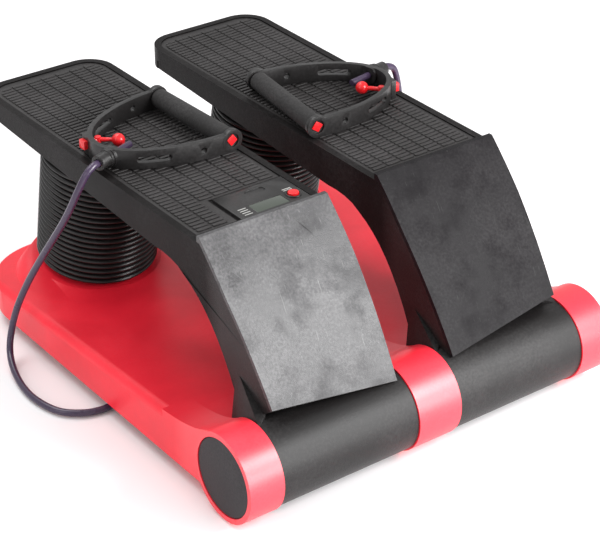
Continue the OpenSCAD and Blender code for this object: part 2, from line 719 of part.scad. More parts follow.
module button_cell() color("silver") place() mirror([1, 0, 0])
    translate([comp_x, comp_y + 4, cover_top]) cylinder(r = cell_r, h = board_z - cover_top);
module step_switch() color("#404040") place() mirror([1, 0, 0])
    box_at([8, 12, board_z - cover_top], [comp_x + comp_w / 4 + 4, comp_y, cover_top]);
cover_top = comp_floor + comp_wall;
function cover_screws_at() = [for (s = [-1, 1]) [comp_x + s * (comp_w / 2 - 11), comp_y + comp_len / 2 - 12]];
module computer_cover() color("#1f1f1f") place() mirror([1, 0, 0]) difference() {
    union() {
        comp_box(-comp_wall - lay_gap, comp_floor, cover_top);
        for (p = cover_screws_at()) translate([p.x, p.y, comp_floor])
            cylinder(d = head_d - 1, h = comp_top - comp_wall - comp_floor);
    }
    for (p = cover_screws_at()) translate([p.x, p.y, comp_floor + screw_len / 2]) screw_hole(screw_len);
}
module cover_screws() color("silver") place() mirror([1, 0, 0]) for (p = cover_screws_at())
    translate([p.x, p.y, comp_floor]) mirror([0, 0, 1]) {
        cylinder(d = head_d - 1, h = head_h / 2);
        translate([0, 0, -screw_len / 2]) cylinder(d = screw_d, h = screw_len / 2 + eps);
    }

// Handles: drawn with the grip along Y at x = 0 and the nose at -X, then laid on each tread
function handle_at(s) = s < 0 ? [-42.7, 268] : [44.2, 244];
function handle_turn(s) = s < 0 ? 2.2 : 172.6;
module handle_place(s) place() translate([handle_at(s).x, handle_at(s).y, 0])
    rotate(handle_turn(s)) children();
frame_z = tread_z + rest_gap;
grip_z = frame_z + eye_r;
gland_turn = 18;
gland_dir = [-cos(gland_turn), -sin(gland_turn)];
band_z = frame_z + frame_h / 2 + 1;
gland_root = [-handle_reach + 6, -16];
gland_seat = 3;
gland_mouth = gland_root + (gland_len + gland_seat) * gland_dir;
peg_v = 18;
peg_seat = handle_reach * sqrt(1 - pow((peg_v - peg_head / 2) / (handle_len / 2), 2));
peg_r = 2.5;
peg_run = 8;
peg_out = 4;
slot_r = 3;
slot_from = 62;
slot_to = 84;
slot_mid = 46;
slot_cut = 40;
hole_at = 30;
function d_line(reach, half) = [for (a = [90 : 5 : 270]) [reach * cos(a), half * sin(a)]];
module handle_2d(inset) polygon(concat(d_line(handle_reach - inset, handle_len / 2 - inset),
    [[inset / 2, inset - handle_len / 2], [inset / 2, handle_len / 2 - inset]]));
module on_band_axis() translate([gland_root.x, gland_root.y, band_z]) rotate([0, 0, gland_turn])
    rotate([0, -90, 0]) children();
module grip_axis(v0, v1) translate([0, v1, grip_z]) rotate([90, 0, 0]) linear_extrude(v1 - v0) children();
module handle_frame(s) color("#242424") handle_place(s) difference() {
    union() {
        translate([0, 0, frame_z]) linear_extrude(frame_h) difference() {
            handle_2d(0);
            handle_2d(frame_t);
        }
        for (v = [-handle_len / 2, handle_len / 2 - frame_t]) grip_axis(v, v + frame_t) circle(eye_r);
        intersection() {
            on_band_axis() translate([0, 0, -frame_t]) cylinder(r = gland_r + 2, h = frame_t + gland_seat);
            translate([-2 * handle_reach, -handle_reach, frame_z])
                cube([2 * handle_reach, 2 * handle_reach, frame_h]);
        }
        box_at([frame_t, peg_head + 2, frame_h], [-peg_seat + frame_t / 2, peg_v, frame_z]);
    }
    grip_axis(-handle_len, handle_len) rotate(35) square(core_sq + 2 * lay_gap, center = true);
    for (v = [-handle_len / 2 - eps, handle_len / 2 - 2]) grip_axis(v, v + 2 + eps) circle(core_sq * 0.82);
    on_band_axis() translate([0, 0, -4 * frame_t]) cylinder(r = band_r + band_gap, h = 8 * frame_t);
    translate([-2 * handle_reach, peg_v, band_z]) rotate([0, 90, 0])
        cylinder(r = peg_r + band_gap, h = 2 * handle_reach);
    for (v = [-1, 1]) translate([0, v * slot_mid, frame_z + frame_h / 2]) rotate([90, 0, 0]) {
        for (u = [hole_at, slot_from, slot_to]) translate([-u, 0, 0])
            cylinder(r = slot_r, h = slot_cut, center = true);
        translate([-(slot_from + slot_to) / 2, 0, 0])
            cube([slot_to - slot_from, 2 * slot_r, slot_cut], center = true);
    }
}
module left_handle_frame() handle_frame(-1);
module right_handle_frame() handle_frame(1);
module grip_core(s) color("red") handle_place(s) {
    half = handle_len / 2 - frame_t - lay_gap;
    grip_axis(-half, half) circle(core_r);
    grip_axis(1 - handle_len / 2, handle_len / 2 - 1) rotate(35) square(core_sq, center = true);
}
module left_grip_core() grip_core(-1);
module right_grip_core() grip_core(1);
module grip_foam(s) color("#1d1d1d") handle_place(s) {
    half = handle_len / 2 - frame_t - 4 * lay_gap;
    grip_axis(-half, half) difference() {
        circle(grip_r);
        circle(core_r + press);
    }
}
module left_grip_foam() grip_foam(-1);
module right_grip_foam() grip_foam(1);
ball_at = [-78, 6];
module band_peg(s) color("red") handle_place(s) translate([0, 0, band_z]) {
    root = [-peg_seat + frame_t + peg_run, peg_v];
    to_ball = ball_at - root;
    translate([-peg_seat - peg_out, peg_v - peg_head / 2, -peg_out]) cube([peg_out, peg_head, 2 * peg_out]);
    translate([-peg_seat - eps, peg_v, 0]) rotate([0, 90, 0]) cylinder(r = peg_r, h = frame_t + peg_run);
    translate([root.x, root.y, 0]) {
        cylinder(r = peg_r + 0.5, h = 2 * peg_r + 1, center = true);
        rotate([0, 90, atan2(to_ball.y, to_ball.x)]) {
            cylinder(r = peg_r - 0.5, h = norm(to_ball));
            translate([0, 0, norm(to_ball)]) sphere(r = ball_r);
        }
    }
}
module left_band_peg() band_peg(-1);
module right_band_peg() band_peg(1);
module band_gland(s) color("#2e2e2e") handle_place(s) on_band_axis()
    translate([0, 0, gland_seat]) difference() {
    union() {
        cylinder(r = gland_r + 1.5, h = 3);
        cylinder(r = gland_r, h = gland_len);
    }
    translate([0, 0, -1]) cylinder(r = band_r + band_gap, h = 2 * gland_len);
}
module left_band_gland() band_gland(-1);
module right_band_gland() band_gland(1);
band_inside = 29;
module band_end(s) color("#3f3450") handle_place(s) on_band_axis()
    translate([0, 0, -band_inside]) cylinder(r = band_r, h = band_inside + gland_len + gland_seat);
module left_band_end() band_end(-1);
module right_band_end() band_end(1);

// Bands: from the gland over the pedal's edge, down to the floor and back under the base.
// Points are [distance from the middle plane, distance behind the hinge, height].
function gland_point(s, out) =
    let (p = handle_at(s) + rot2(gland_mouth + out * gland_dir, handle_turn(s))) [s * p.x, p.y, band_z];
upper_left = [[174, 239, 216], [181, 243, 200], [186, 250, 181], [190, 259, 163]];
upper_right = [[178, 251, 216], [183, 251, 200], [187, 253, 181], [190, 259, 163]];
lower_route = [[195, 275, 137], [200, 291, 111], [205, 306, 84], [210, 319, 55], [215, 324, 30],
    [222, 317, 14], [230, 297, 7], [236, 270, band_lie_z], [237, 242, band_lie_z],
    [230, 216, band_lie_z], [215, 201, band_lie_z], [198, 195, band_lie_z], [180, anchor_y, anchor_z],
    [anchor_x - band_sink, anchor_y, anchor_z]];
function band_path(s) = concat([gland_point(s, 0), gland_point(s, band_d)],
    s < 0 ? upper_left : upper_right, lower_route);
band_meet = 1 + len(upper_left);
module band_upper(s) color("#3f3450") place() side_of(s) swept_tube(band_path(s), band_d, 0, band_meet);
module left_band_upper() band_upper(-1);
module right_band_upper() band_upper(1);
module band_lower(s) color("#3f3450") place() side_of(s)
    swept_tube(band_path(s), band_d, band_meet, len(band_path(s)) - 1);
module left_band_lower() band_lower(-1);
module right_band_lower() band_lower(1);

base_shell();
hinge_barrels();
left_end_cap();
right_end_cap();
hinge_shaft();
shaft_nuts();
rubber_feet();
foot_screws();
air_hose();
air_fittings();
left_band_anchor();
right_band_anchor();
anchor_screws();
left_bellows();
right_bellows();
left_pedal_shell();
right_pedal_shell();
left_front_plate();
right_front_plate();
left_tread_mat();
right_tread_mat();
left_bellows_plate();
right_bellows_plate();
left_plate_screws();
right_plate_screws();
left_hinge_bushes();
right_hinge_bushes();
computer_housing();
display_lens();
display_panel();
mode_button();
circuit_board();
button_cell();
step_switch();
computer_cover();
cover_screws();
left_handle_frame();
right_handle_frame();
left_grip_core();
right_grip_core();
left_grip_foam();
right_grip_foam();
left_band_peg();
right_band_peg();
left_band_gland();
right_band_gland();
left_band_end();
right_band_end();
left_band_upper();
right_band_upper();
left_band_lower();
right_band_lower();
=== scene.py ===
# %% [markdown]
# # A twin-pedal air stepper
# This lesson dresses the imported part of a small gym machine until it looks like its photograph.
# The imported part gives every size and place. Each step below makes one group of pieces by hand-style
# modelling: a primitive or a merged copy is shaped in edit mode, then finished with modifiers.

import json
import math

import bpy
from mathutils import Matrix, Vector
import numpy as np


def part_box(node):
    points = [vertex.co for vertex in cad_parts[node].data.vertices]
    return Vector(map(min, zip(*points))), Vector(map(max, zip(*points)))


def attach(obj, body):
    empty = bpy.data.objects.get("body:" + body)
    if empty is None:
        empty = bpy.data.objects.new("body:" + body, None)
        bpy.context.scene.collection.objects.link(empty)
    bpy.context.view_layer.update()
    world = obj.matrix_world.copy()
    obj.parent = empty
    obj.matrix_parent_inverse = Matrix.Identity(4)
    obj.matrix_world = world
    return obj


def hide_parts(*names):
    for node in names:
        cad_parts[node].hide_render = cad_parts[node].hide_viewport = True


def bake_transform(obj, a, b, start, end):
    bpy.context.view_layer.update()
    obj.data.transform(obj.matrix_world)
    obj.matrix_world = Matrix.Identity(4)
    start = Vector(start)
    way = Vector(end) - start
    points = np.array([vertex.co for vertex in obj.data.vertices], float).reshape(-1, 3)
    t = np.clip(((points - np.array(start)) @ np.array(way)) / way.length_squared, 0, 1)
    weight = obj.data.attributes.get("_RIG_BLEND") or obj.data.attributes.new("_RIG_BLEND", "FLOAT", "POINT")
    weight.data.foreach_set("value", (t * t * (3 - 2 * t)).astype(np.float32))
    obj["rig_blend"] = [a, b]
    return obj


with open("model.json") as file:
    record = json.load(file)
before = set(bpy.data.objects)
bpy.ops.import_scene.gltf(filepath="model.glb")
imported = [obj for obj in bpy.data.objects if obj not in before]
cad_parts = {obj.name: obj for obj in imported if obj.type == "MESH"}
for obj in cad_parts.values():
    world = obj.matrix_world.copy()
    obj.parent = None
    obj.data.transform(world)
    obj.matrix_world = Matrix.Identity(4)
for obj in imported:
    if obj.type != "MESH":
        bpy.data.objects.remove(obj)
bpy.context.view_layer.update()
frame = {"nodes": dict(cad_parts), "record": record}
bpy.ops.object.select_all(action="DESELECT")
SHAFT_LOW, SHAFT_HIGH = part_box("hinge_shaft")
HINGE_Y = (SHAFT_LOW.y + SHAFT_HIGH.y) / 2
HINGE_Z = (SHAFT_LOW.z + SHAFT_HIGH.z) / 2
SIDES = {"left": -1, "right": 1}

# %% [markdown]
# ## Small tools
# The same few moves come back in every step: select one object, draw a line by extruding a vertex,
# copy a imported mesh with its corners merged, bevel the sharp edges that pass a test, apply a modifier.

# %% Tools for selecting and shaping
MERGE, WELD_MERGE, FLAT = 2e-6, 5e-6, math.radians(0.4)


def row(x, y, z):
    """A point in metres from millimetres beside and behind the hinge's middle and above the floor."""
    return Vector((x / 1000, y / 1000 + HINGE_Y, z / 1000))


def only(obj):
    """Leave just this object selected and active."""
    bpy.ops.object.select_all(action="DESELECT")
    obj.select_set(True)
    bpy.context.view_layer.objects.active = obj
    return obj


def edit(obj, mode="VERT"):
    """Open an object in edit mode with nothing selected."""
    only(obj)
    bpy.ops.object.mode_set(mode="EDIT")
    bpy.ops.mesh.select_mode(type=mode)
    bpy.ops.mesh.select_all(action="DESELECT")


def done():
    """Close edit mode."""
    bpy.ops.object.mode_set(mode="OBJECT")


def modify(obj, kind, **settings):
    """Add one modifier and apply it."""
    only(obj)
    modifier = obj.modifiers.new(kind, kind)
    for key, value in settings.items():
        setattr(modifier, key, value)
    bpy.ops.object.modifier_apply(modifier=modifier.name)


def smooth(obj, angle):
    """Smooth the shading over edges up to an angle."""
    only(obj)
    bpy.ops.object.shade_smooth_by_angle(angle=math.radians(angle))


def flatten(obj):
    """Keep large flat faces flat in smooth shading."""
    modify(obj, "WEIGHTED_NORMAL", keep_sharp=True, weight=50)


def pick(obj, test):
    """Select the vertices that pass a test, for the next edit-mode move."""
    edit(obj)
    done()
    for vertex in obj.data.vertices:
        vertex.select = test(vertex.co)
    bpy.ops.object.mode_set(mode="EDIT")


def any_edge(a, b):
    """The test that every edge passes."""
    return True


def both(test):
    """Make a test for an edge out of a test for each of its ends."""
    return lambda a, b: test(a) and test(b)


def pick_edges(obj, test, sharpness):
    """Select the edges sharper than an angle whose two ends pass a test, and leave edit mode open."""
    edit(obj, "EDGE")
    bpy.ops.mesh.edges_select_sharp(sharpness=math.radians(sharpness))
    done()
    corners = [vertex.co for vertex in obj.data.vertices]
    count = 0
    for line in obj.data.edges:
        line.select = line.select and test(*(corners[v] for v in line.vertices))
        count += line.select
    bpy.ops.object.mode_set(mode="EDIT")
    bpy.ops.mesh.select_mode(type="EDGE")
    return count


def bevel_where(obj, width, segments, test, sharpness=20):
    """Bevel the sharp edges whose two ends pass a test."""
    count = pick_edges(obj, test, sharpness)
    if count:
        bpy.ops.mesh.bevel(offset=width, segments=segments, affect="EDGES", clamp_overlap=True)
    done()
    return count


def cad_copy(packed, name):
    """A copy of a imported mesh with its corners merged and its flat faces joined."""
    obj = bpy.data.objects.new(name, frame["nodes"][packed].data.copy())
    bpy.context.collection.objects.link(obj)
    obj.data.materials.clear()
    edit(obj)
    bpy.ops.mesh.select_all(action="SELECT")
    bpy.ops.mesh.remove_doubles(threshold=MERGE)
    bpy.ops.mesh.dissolve_limited(angle_limit=FLAT)
    bpy.ops.mesh.normals_make_consistent(inside=False)
    done()
    return obj


def draw_line(name, points):
    """Draw a line through points by extruding one vertex, step by step."""
    bpy.ops.mesh.primitive_plane_add(size=0.001)
    obj = bpy.context.object
    obj.name = name
    bpy.ops.object.mode_set(mode="EDIT")
    bpy.ops.mesh.select_all(action="SELECT")
    bpy.ops.mesh.merge(type="CENTER")
    bpy.ops.transform.translate(value=points[0])
    for a, b in zip(points, points[1:]):
        bpy.ops.mesh.extrude_region_move(TRANSFORM_OT_translate={"value": b - a})
    done()
    return obj


def lathe(name, profile, centre, steps):
    """Spin a drawn profile round an upright axis through centre."""
    obj = draw_line(name, profile)
    edit(obj)
    bpy.ops.mesh.select_all(action="SELECT")
    bpy.ops.mesh.spin(steps=steps, angle=math.tau, center=centre, axis=(0, 0, 1))
    bpy.ops.mesh.select_all(action="SELECT")
    bpy.ops.mesh.remove_doubles(threshold=MERGE)
    bpy.ops.mesh.normals_make_consistent(inside=False)
    done()
    return obj


def join(name, objs):
    """Join objects into the first one."""
    bpy.ops.object.select_all(action="DESELECT")
    for obj in objs:
        obj.select_set(True)
    bpy.context.view_layer.objects.active = objs[0]
    bpy.ops.object.join()
    objs[0].name = name
    return objs[0]


def weld_in(obj, other):
    """Make one closed body of two that touch or overlap."""
    modify(obj, "BOOLEAN", operation="UNION", object=other, solver="EXACT")
    bpy.data.objects.remove(other)
    edit(obj)
    bpy.ops.mesh.select_all(action="SELECT")
    bpy.ops.mesh.remove_doubles(threshold=WELD_MERGE)
    bpy.ops.mesh.dissolve_limited(angle_limit=FLAT)
    done()
    return obj


print("tools ready")

# %% [markdown]
# ## Camera, floor and light
# The camera stands as it did for the photograph: in front and to the left, looking down about thirty
# degrees through a long lens. A pale floor runs out to a white surround. One soft box in front mirrors
# in the left front plate, as in the photograph, and one above lights the treads. A weak one fills the
# left side, and a low one gives the barrels and hinge tubes their shine.

# %% Set the camera
EYE = row(-946.8, -1115.0, 1022.0)
AIM = row(9.8, 175.8, 82.6)
LENS_MM, SENSOR_MM = 120.67, 36
bpy.ops.object.camera_add(location=EYE)
camera = bpy.context.object
camera.name = "photo_camera"
camera.rotation_mode = "QUATERNION"
camera.rotation_quaternion = (AIM - EYE).to_track_quat("-Z", "Y")
camera.data.lens = LENS_MM
camera.data.sensor_width = SENSOR_MM
camera.data.sensor_fit = "HORIZONTAL"
bpy.context.scene.camera = camera
print("camera", round((AIM - EYE).length, 3), "m from the middle")

# %% Lay the floor and set the surround
scene = bpy.context.scene
scene.view_settings.view_transform = "Standard"
scene.view_settings.look = "None"
bpy.ops.mesh.primitive_plane_add(size=14, location=(0, 0, 0))
floor = bpy.context.object
floor.name = "floor"
paint = bpy.data.materials.new("floor_paper")
paint.use_nodes = True
shader = paint.node_tree.nodes["Principled BSDF"]
shader.inputs["Base Color"].default_value = (0.93, 0.91, 0.92, 1)
shader.inputs["Roughness"].default_value = 0.75
shader.inputs["Specular IOR Level"].default_value = 0.15
floor.data.materials.append(paint)
world = bpy.data.worlds.new("studio")
scene.world = world
world.use_nodes = True
sky = world.node_tree.nodes["Background"]
sky.inputs["Color"].default_value = (1, 1, 1, 1)
sky.inputs["Strength"].default_value = 0.75
print("floor and surround set")

# %% Hang the soft boxes
def soft_box(name, place, aim, width, height, power):
    """Hang a rectangular area light at a place and turn it to its aim."""
    bpy.ops.object.light_add(type="AREA", location=place)
    lamp = bpy.context.object
    lamp.name = name
    lamp.data.shape = "RECTANGLE"
    lamp.data.size = width
    lamp.data.size_y = height
    lamp.data.energy = power
    lamp.rotation_mode = "QUATERNION"
    lamp.rotation_quaternion = (Vector(aim) - Vector(place)).to_track_quat("-Z", "Y")


PLATE_MIDDLE = row(-93, 35, 152)
PLATE_MIRROR = Vector((0.509, -0.679, 0.532))
# Place, aim, width and height in metres, power in watts
SOFT_BOXES = {
    "front_box": (PLATE_MIDDLE + 1.25 * PLATE_MIRROR, PLATE_MIDDLE, 0.42, 0.55, 18),
    "top_box": ((-0.3, 0.9, 1.9), (0, 0, 0.1), 1.6, 1.0, 22),
    "side_box": ((-1.8, -0.2, 1.0), (0, 0, 0.1), 0.8, 1.0, 5),
    "low_box": ((0.5, -1.7, 0.35), (0, -0.2, 0.05), 1.3, 0.5, 25),
}
for name, values in SOFT_BOXES.items():
    soft_box(name, *values)
print(len(SOFT_BOXES), "soft boxes hung")

# %% [markdown]
# ## Finishes
# Every finish shares one node group. It breaks the colour into soft patches, adds dusty specks where
# the plastic is worn, varies the gloss, and gives the surface its moulded grain as a fine bump. The red
# and the black plastic shine more in front, and the front plates get smudges and scratches. The left
# plate's lighter colour is partly scuffing and partly a painted reflection of the front soft box.

# %% Tools for shader nodes
MIX_A, MIX_B, MIX_RESULT = 6, 7, 2


def node(tree, kind, inputs=None, **settings):
    """Add a node. Each input, by name or place, gets a value or a link from another node's output."""
    made = tree.nodes.new(kind)
    for key, value in settings.items():
        setattr(made, key, value)
    for key, value in (inputs or {}).items():
        if isinstance(value, bpy.types.NodeSocket):
            tree.links.new(value, made.inputs[key])
        else:
            made.inputs[key].default_value = value
    return made


def object_place(tree):
    """The place on the object, in metres."""
    return node(tree, "ShaderNodeTexCoord").outputs["Object"]


def noise(tree, place, scale, detail, rough=0.5):
    """Soft noise between 0 and 1."""
    inputs = {"Vector": place, "Scale": scale, "Detail": detail, "Roughness": rough}
    return node(tree, "ShaderNodeTexNoise", inputs).outputs[0]


def calc(tree, operation, *values):
    """One step of arithmetic on numbers or outputs."""
    return node(tree, "ShaderNodeMath", dict(enumerate(values)), operation=operation).outputs[0]


def remap(tree, value, low, high, to_low=0.0, to_high=1.0):
    """Stretch the range from low to high to another one and hold its ends."""
    inputs = {"Value": value, "From Min": low, "From Max": high, "To Min": to_low, "To Max": to_high}
    return node(tree, "ShaderNodeMapRange", inputs).outputs[0]


def mix(tree, amount, first, second, how="MIX"):
    """Mix two colours."""
    inputs = {0: amount, MIX_A: first, MIX_B: second}
    return node(tree, "ShaderNodeMix", inputs, data_type="RGBA", blend_type=how).outputs[MIX_RESULT]


print("node tools ready")

# %% Build the shared surface group
PATCHES, SPECKS, GRAIN_DETAIL = (16.0, 4.0), (420.0, 3.0), 2.0
DUST_FROM, DUST_FULL = 0.2, 0.42
SHADE_BETWEEN, SHADE_TO = (0.3, 0.7), (0.9, 1.1)


def socket(group, name, kind, way="INPUT", value=None):
    """Add an input or output to a node group."""
    made = group.interface.new_socket(name, in_out=way, socket_type=kind)
    if value is not None:
        made.default_value = value


surface = bpy.data.node_groups.new("moulded_surface", "ShaderNodeTree")
socket(surface, "Color", "NodeSocketColor")
socket(surface, "Worn", "NodeSocketColor")
for label, value in {"Wear": 0.2, "Grain": 1500, "Depth": 0.0001, "Rough": 0.4, "Spread": 0.15}.items():
    socket(surface, label, "NodeSocketFloat", value=value)
for label, kind in {"Color": "Color", "Roughness": "Float", "Normal": "Vector"}.items():
    socket(surface, label, "NodeSocket" + kind, "OUTPUT")
given = node(surface, "NodeGroupInput").outputs
place = object_place(surface)
patches = noise(surface, place, *PATCHES)
specks = noise(surface, place, *SPECKS)
grain = noise(surface, place, given["Grain"], GRAIN_DETAIL)
dusty = remap(surface, calc(surface, "MULTIPLY", patches, specks), DUST_FROM, DUST_FULL)
dusty = calc(surface, "MULTIPLY", dusty, given["Wear"])
tone = mix(surface, dusty, given["Color"], given["Worn"])
tone = mix(surface, 1.0, tone, remap(surface, patches, *SHADE_BETWEEN, *SHADE_TO), "MULTIPLY")
gloss = calc(surface, "SUBTRACT", patches, 0.5)
gloss = calc(surface, "MULTIPLY_ADD", gloss, given["Spread"], given["Rough"])
relief = node(surface, "ShaderNodeBump", {"Height": grain, "Distance": given["Depth"]}).outputs[0]
node(surface, "NodeGroupOutput", {"Color": tone, "Roughness": gloss, "Normal": relief})
print("surface group has", len(surface.nodes), "nodes")

# %% Mix the finishes from the group
SHINE = "Specular IOR Level"
GREY = (0.10, 0.095, 0.097)
PINK = (0.80, 0.16, 0.20)
PALE_GREEN = (0.1, 0.11, 0.1)
# Colour, worn colour, wear, grain per metre, depth of the grain in metres, roughness, its spread, others
FINISHES = {
    "red_body": ((0.88, 0.016, 0.036), PINK, 0.08, 900.0, 0.00006, 0.38, 0.12),
    "black_body": ((0.007, 0.006, 0.006), GREY, 0.13, 1300.0, 0.0002, 0.44, 0.14),
    "cap_plastic": ((0.014, 0.013, 0.015), GREY, 0.15, 1100.0, 0.00015, 0.5, 0.15, {SHINE: 0.28}),
    "steel": ((0.60, 0.60, 0.62), (0.4, 0.4, 0.41), 0.3, 2500.0, 0.00002, 0.32, 0.15, {"Metallic": 1.0}),
    "foot_rubber": ((0.018, 0.018, 0.018), GREY, 0.35, 1600.0, 0.0002, 0.75),
    "hose_rubber": ((0.022, 0.022, 0.023), GREY, 0.2, 2000.0, 0.00008, 0.5),
    "fitting_plastic": ((0.020, 0.020, 0.021), GREY, 0.2, 2000.0, 0.00008, 0.42),
    "bellows_rubber": ((0.008, 0.007, 0.007), GREY, 0.10, 1800.0, 0.00005, 0.30, 0.12, {SHINE: 0.4}),
    "tread_rubber": ((0.018, 0.016, 0.016), GREY, 0.22, 1700.0, 0.00014, 0.5, 0.15, {SHINE: 0.35}),
    "bush_plastic": ((0.70, 0.62, 0.46), (0.5, 0.45, 0.35), 0.2, 2000.0, 0.00004, 0.4),
    "computer_plastic": ((0.012, 0.011, 0.011), GREY, 0.15, 2200.0, 0.00006, 0.35, 0.15, {SHINE: 0.4}),
    "lens": ((0.052, 0.062, 0.050), PALE_GREEN, 0.1, 2500.0, 0.000004, 0.14, 0.05),
    "display": ((0.06, 0.075, 0.058), PALE_GREEN, 0.1, 2500.0, 0.00001, 0.3),
    "board": ((0.02, 0.12, 0.05), (0.3, 0.3, 0.1), 0.2, 1800.0, 0.00006, 0.4),
    "red_trim": ((0.70, 0.010, 0.014), PINK, 0.08, 2200.0, 0.00004, 0.28),
    "handle_plastic": ((0.012, 0.011, 0.011), GREY, 0.15, 1800.0, 0.00007, 0.34, 0.14, {SHINE: 0.4}),
    "grip_foam": ((0.014, 0.013, 0.013), GREY, 0.25, 1400.0, 0.0005, 0.82, 0.1),
    "band_latex": ((0.042, 0.026, 0.058), (0.12, 0.10, 0.14), 0.2, 1500.0, 0.00004, 0.27, 0.12),
}


def finish(name, colour, worn, wear, grain, depth, rough, spread=0.15, others=None):
    """A material whose colour, roughness and relief come from the shared group."""
    made = bpy.data.materials.new(name)
    made.use_nodes = True
    tree = made.node_tree
    shader = tree.nodes["Principled BSDF"]
    inputs = {"Color": (*colour, 1), "Worn": (*worn, 1), "Wear": wear, "Grain": grain, "Depth": depth,
              "Rough": rough, "Spread": spread}
    layer = node(tree, "ShaderNodeGroup", inputs, node_tree=surface)
    for output, target in {"Color": "Base Color", "Roughness": "Roughness", "Normal": "Normal"}.items():
        tree.links.new(layer.outputs[output], shader.inputs[target])
    for label, value in (others or {}).items():
        shader.inputs[label].default_value = value
    return made


finishes = {name: finish(name, *values) for name, values in FINISHES.items()}
slot_of = {part["node"]: part["material_slot"] for part in frame["record"]["subparts"]}
for name, packed in frame["nodes"].items():
    packed.data.materials.clear()
    packed.data.materials.append(finishes[slot_of[name]])
print(len(finishes), "finishes mixed for", len(slot_of), "nodes")

# %% Polish the front
POLISH_FROM, POLISH_FULL = row(0, 80, 0).y, row(0, 60, 0).y


def polish_to_front(material, behind, ahead):
    """Give a finish more shine in front of the legs, where feet and floor have rubbed it."""
    tree = material.node_tree
    along = node(tree, "ShaderNodeSeparateXYZ", {0: object_place(tree)}).outputs["Y"]
    shine = remap(tree, along, POLISH_FROM, POLISH_FULL, behind, ahead)
    tree.links.new(shine, tree.nodes["Principled BSDF"].inputs[SHINE])


polish_to_front(finishes["black_body"], 0.08, 0.32)
polish_to_front(finishes["red_body"], 0.4, 0.85)
print("black and red plastic polished to the front")

# %% Scratch the front plates
PLATE_SLOPE = math.radians(37.6)
PLATE_GRAIN, PLATE_DEPTH, PLATE_SPREAD = 1300.0, 0.0002, 0.14
SCRATCH_BLACK, SCRATCH_FADE = (0.006, 0.006, 0.006, 1), 0.05
# Tilt, marks per metre across and along, height of the cut
LIGHT_NICKS, DARK_SCRATCHES = (0.12, 700.0, 18.0, 0.70), (-0.75, 220.0, 5.0, 0.74)
SMUDGES, SMUDGE_BETWEEN = (38.0, 5.0, 0.6), (0.47, 0.66)


def scratches(tree, place, tilt, across, along, cut):
    """Thin straight marks: noise drawn out along one direction and cut to its peaks."""
    draw_out = (1 / across, 1 / across, 1 / along)
    inputs = {"Vector": place, "Rotation": (-PLATE_SLOPE, tilt, 0), "Scale": draw_out}
    turned = node(tree, "ShaderNodeMapping", inputs, vector_type="TEXTURE").outputs[0]
    return remap(tree, noise(tree, turned, 1.0, 2.0), cut, cut + SCRATCH_FADE)


def plate_finish(name, colour, worn, wear, rough, shine, smudged, nick):
    """A plate's finish: light nicks, a few dark scratches, and smudges that take some of the shine."""
    made = finish(name, colour, worn, wear, PLATE_GRAIN, PLATE_DEPTH, rough, PLATE_SPREAD)
    tree = made.node_tree
    shader = tree.nodes["Principled BSDF"]
    layer = shader.inputs["Base Color"].links[0].from_node
    place = object_place(tree)
    light = scratches(tree, place, *LIGHT_NICKS)
    dark = scratches(tree, place, *DARK_SCRATCHES)
    tone = mix(tree, light, layer.outputs["Color"], (nick, nick, nick, 1))
    tree.links.new(mix(tree, dark, tone, SCRATCH_BLACK), shader.inputs["Base Color"])
    sheen = remap(tree, noise(tree, place, *SMUDGES), *SMUDGE_BETWEEN, shine, shine * smudged)
    tree.links.new(sheen, shader.inputs[SHINE])
    return made


# Colour, worn colour, wear, roughness, shine, part of the shine left by smudges, grey of the nicks
PLATE_WEAR_AND_PAINTED_REFLECTION = {
    # The left plate's lighter colour, lighter worn grey and heavier wear are partly scuffing and partly a
    # painted reflection of the front soft box; the right plate keeps the dark plastic's own colour
    "left": ((0.036, 0.035, 0.037), (0.12, 0.117, 0.12), 0.5, 0.36, 0.44, 0.5, 0.10),
    "right": ((0.006, 0.005, 0.006), GREY, 0.10, 0.46, 0.14, 0.6, 0.025),
}
plate_finishes = {side: plate_finish(f"{side}_plate", *values) for side, values in PLATE_WEAR_AND_PAINTED_REFLECTION.items()}
print("front plates scratched")

# %% A tool for finished pieces
def dress(obj, body, *nodes):
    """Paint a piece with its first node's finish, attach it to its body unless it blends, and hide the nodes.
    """
    slot = slot_of[nodes[0]]
    obj.data.materials.clear()
    obj.data.materials.append(finishes[slot])
    if "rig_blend" not in obj:
        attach(obj, body)
    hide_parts(*nodes)


print("dressing tool ready")

# %% [markdown]
# ## Elastic bands
# Each band leaves the gland on its handle, falls over the pedal's edge, lies on the floor and runs back
# under the base to its anchor. The upper stretch bends between the pedal and the handle and the lower one
# between the base and the pedal, so each is its own tube and they meet end to end beside the pedal.

# %% Find points on the handles
HANDLE_AT = {"left": (-42.7, 268), "right": (44.2, 244)}
HANDLE_TURN = {"left": math.radians(2.2), "right": math.radians(172.6)}
HANDLE_NOSE = (-108, 0, 220)


def on_handle(side, u, v, z):
    """A point in the handle's own plan, where the grip runs along v and the nose is at -u."""
    x, y = HANDLE_AT[side]
    c, s = math.cos(HANDLE_TURN[side]), math.sin(HANDLE_TURN[side])
    return row(x + u * c - v * s, y + u * s + v * c, z)


print("left handle's nose at", tuple(round(c, 3) for c in on_handle("left", *HANDLE_NOSE)))

